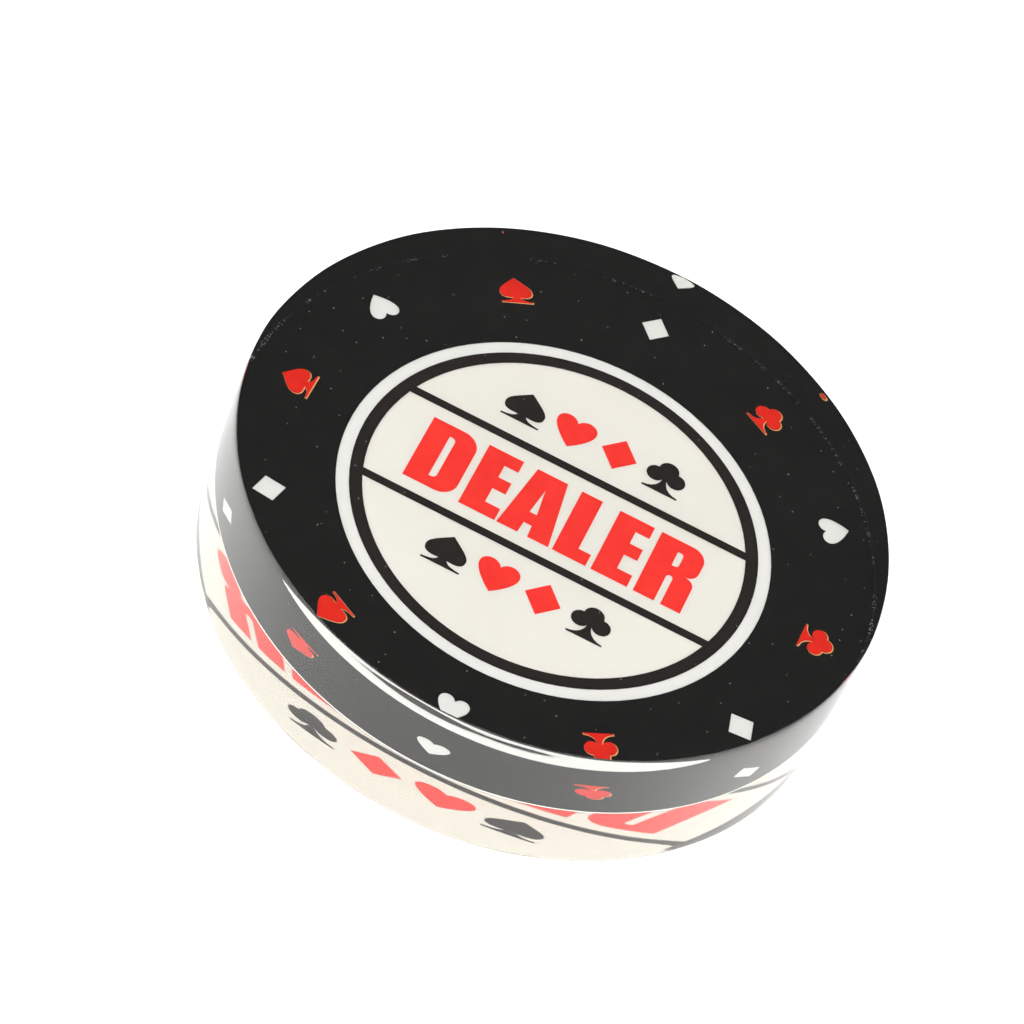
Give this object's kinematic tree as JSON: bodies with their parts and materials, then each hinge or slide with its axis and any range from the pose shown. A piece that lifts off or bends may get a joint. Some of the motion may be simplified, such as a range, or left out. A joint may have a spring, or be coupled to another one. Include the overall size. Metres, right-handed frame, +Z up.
{
  "type": "dealer button",
  "caption": "Thick clear puck with a flat print sealed at mid-height, showing the same black, white and red face from above and from below.",
  "frame": {"origin": "centre of the underside, where the button rests on the table", "axes": "+Z up along the puck's axis, +X along the word as it reads from above, +Y towards the top of the letters"},
  "size_m": [0.0762, 0.0762, 0.0191],
  "materials": {
    "clear_acrylic": "polished, water clear",
    "white_sheet": "matte white print sheet",
    "black_ink": "flat black print",
    "red_ink": "flat red print"
  },
  "bodies": {
    "root": {"upper_crystal": "clear_acrylic", "lower_crystal": "clear_acrylic", "core_sheet": "white_sheet", "top_border_ring": "black_ink", "top_band_ring": "black_ink", "top_letter_1_d": "red_ink", "top_letter_2_e": "red_ink", "top_letter_3_a": "red_ink", "top_letter_4_l": "red_ink", "top_letter_5_e": "red_ink", "top_letter_6_r": "red_ink", "top_upper_spade": "black_ink", "top_upper_heart": "red_ink", "top_upper_diamond": "red_ink", "top_upper_club": "black_ink", "top_lower_spade": "black_ink", "top_lower_heart": "red_ink", "top_lower_diamond": "red_ink", "top_lower_club": "black_ink", "top_border_club_000": "red_ink", "top_border_club_060": "red_ink", "top_border_spade_120": "red_ink", "top_border_spade_180": "red_ink", "top_border_spade_240": "red_ink", "top_border_club_300": "red_ink", "bottom_border_ring": "black_ink", "bottom_band_ring": "black_ink", "bottom_letter_1_d": "red_ink", "bottom_letter_2_e": "red_ink", "bottom_letter_3_a": "red_ink", "bottom_letter_4_l": "red_ink", "bottom_letter_5_e": "red_ink", "bottom_letter_6_r": "red_ink", "bottom_upper_spade": "black_ink", "bottom_upper_heart": "red_ink", "bottom_upper_diamond": "red_ink", "bottom_upper_club": "black_ink", "bottom_lower_spade": "black_ink", "bottom_lower_heart": "red_ink", "bottom_lower_diamond": "red_ink", "bottom_lower_club": "black_ink", "bottom_border_club_000": "red_ink", "bottom_border_club_060": "red_ink", "bottom_border_spade_120": "red_ink", "bottom_border_spade_180": "red_ink", "bottom_border_spade_240": "red_ink", "bottom_border_club_300": "red_ink"}
  },
  "joints": []
}
